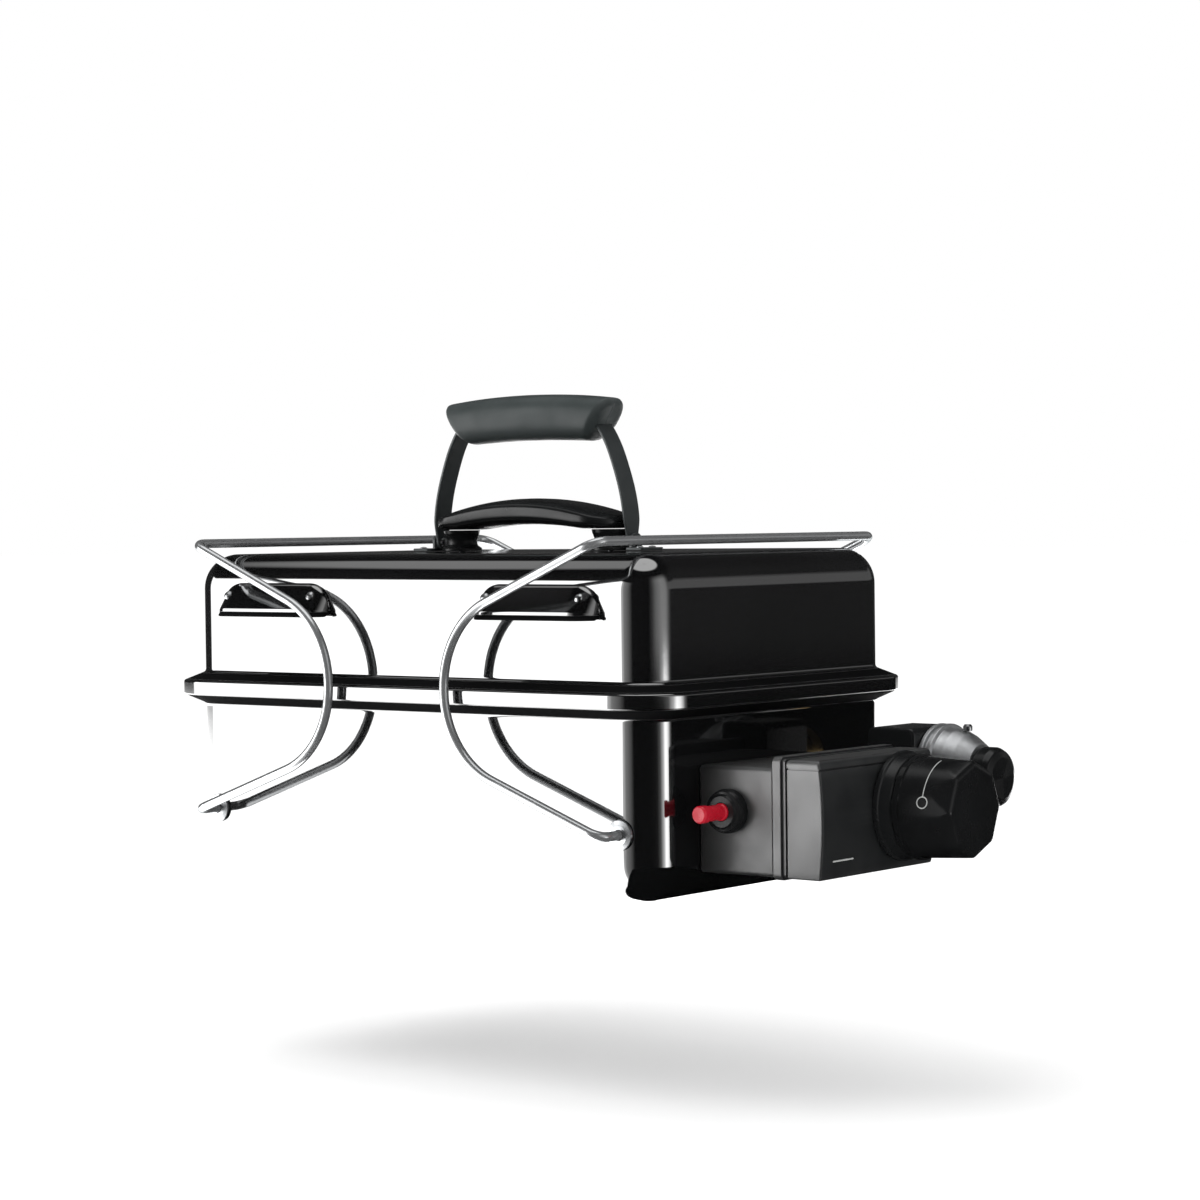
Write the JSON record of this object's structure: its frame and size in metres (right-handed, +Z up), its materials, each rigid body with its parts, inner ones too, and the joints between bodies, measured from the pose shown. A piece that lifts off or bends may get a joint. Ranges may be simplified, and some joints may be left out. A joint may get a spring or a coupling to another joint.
{
  "type": "portable tabletop gas grill",
  "caption": "Portable tabletop gas grill folded for carrying: rounded black lid and bowl, wire legs locked over the lid, carrying bail and an end control unit.",
  "frame": {"origin": "centre of the bowl's flat bottom, the face it rests on with the legs folded up", "axes": "+X towards the end with the control unit and knob, -Y towards the front with the vent hoods, +Z up"},
  "size_m": [0.5888, 0.3244, 0.337],
  "materials": {
    "enamel": "high-gloss porcelain enamel, black",
    "grate_enamel": "semi-gloss enamel, black",
    "chrome_wire": "bright plated wire",
    "black_plastic": "satin moulded, glass-filled",
    "grip_plastic": "matt, fine-grained, dark grey-green",
    "box_paint": "satin black powder coat",
    "knob_plastic": "glossy black with a white pointer line",
    "red_plastic": "glossy red",
    "cast_metal": "shot-blasted die casting",
    "brass": "turned",
    "steel": "plain rolled or turned",
    "strap_paint": "satin black paint",
    "ceramic": "glazed insulator",
    "lead_rubber": "high-voltage lead insulation, dark red"
  },
  "bodies": {
    "bowl_body": {"bowl": "enamel", "end_ledge_left": "steel", "end_ledge_right": "steel", "heat_bar": "grate_enamel", "burner_tube": "steel", "burner_bracket": "steel", "electrode_insulator": "ceramic", "electrode_pin": "steel", "igniter_body": "black_plastic", "igniter_collar": "black_plastic", "igniter_spring": "steel", "igniter_lead": "lead_rubber", "control_box": "box_paint", "casing_flange": "box_paint", "valve_housing": "box_paint", "knob_bezel": "black_plastic", "gas_valve": "brass", "gas_orifice": "brass", "inlet_block": "black_plastic", "regulator_body": "cast_metal", "regulator_cap": "knob_plastic", "regulator_stud": "steel", "cylinder_coupling": "brass", "leg_washer_left_front": "steel", "leg_washer_left_back": "steel", "leg_washer_right_front": "steel", "leg_washer_right_back": "steel"},
    "lid_body": {"lid": "enamel", "lid_crown": "enamel", "lid_handle": "black_plastic", "vent_hood_left": "enamel", "vent_hood_right": "enamel", "handle_post_left": "black_plastic", "handle_post_right": "black_plastic", "handle_screw_left": "steel", "handle_screw_right": "steel", "bail_bracket_left": "strap_paint", "bail_bracket_right": "strap_paint", "bail_pin_left": "steel", "bail_pin_right": "steel", "hood_rivet_left_outer": "steel", "hood_rivet_left_inner": "steel", "hood_rivet_right_outer": "steel", "hood_rivet_right_inner": "steel"},
    "bail_body": {"bail_strap": "strap_paint", "grip_front_half": "grip_plastic", "grip_back_half": "grip_plastic"},
    "left_leg_body": {"leg_left": "chrome_wire", "leg_cap_left_front": "steel", "leg_cap_left_back": "steel"},
    "right_leg_body": {"leg_right": "chrome_wire", "leg_cap_right_front": "steel", "leg_cap_right_back": "steel"},
    "grate_body": {"cooking_grate": "grate_enamel"},
    "knob_body": {"control_knob": "knob_plastic", "valve_stem": "brass"},
    "button_body": {"igniter_button": "red_plastic"}
  },
  "joints": [
    {"name": "leg_left_fold", "type": "hinge", "parent": "bowl_body", "child": "left_leg_body", "pos_m": [-0.183, 0, 0.045], "axis": [0, -1, 0], "range_deg": [0, 203]},
    {"name": "leg_right_fold", "type": "hinge", "parent": "bowl_body", "child": "right_leg_body", "pos_m": [0.183, 0, 0.045], "axis": [0, 1, 0], "range_deg": [0, 203]},
    {"name": "lid_lift", "type": "slide", "parent": "bowl_body", "child": "lid_body", "axis": [0, 0, 1], "range_m": [0, 0.08]},
    {"name": "bail_swing", "type": "hinge", "parent": "lid_body", "child": "bail_body", "pos_m": [0, 0, 0.2325], "axis": [1, 0, 0], "range_deg": [-80, 80]},
    {"name": "grate_lift", "type": "slide", "parent": "bowl_body", "child": "grate_body", "axis": [0, 0, 1], "range_m": [0, 0.07]},
    {"name": "knob_turn", "type": "hinge", "parent": "bowl_body", "child": "knob_body", "pos_m": [0.34, 0.003, 0.059], "axis": [1, 0, 0], "range_deg": [-225, 0]},
    {"name": "igniter_press", "type": "slide", "parent": "bowl_body", "child": "button_body", "axis": [0, 1, 0], "range_m": [0, 0.005], "stiffness_N_per_m": 400, "springref_m": -0.002}
  ],
  "couplings": [
    {"joint": "leg_right_fold", "follows": "leg_left_fold", "ratio": 1},
    {"joint": "lid_lift", "follows": "leg_left_fold", "m_per_rad": 0.0225}
  ]
}
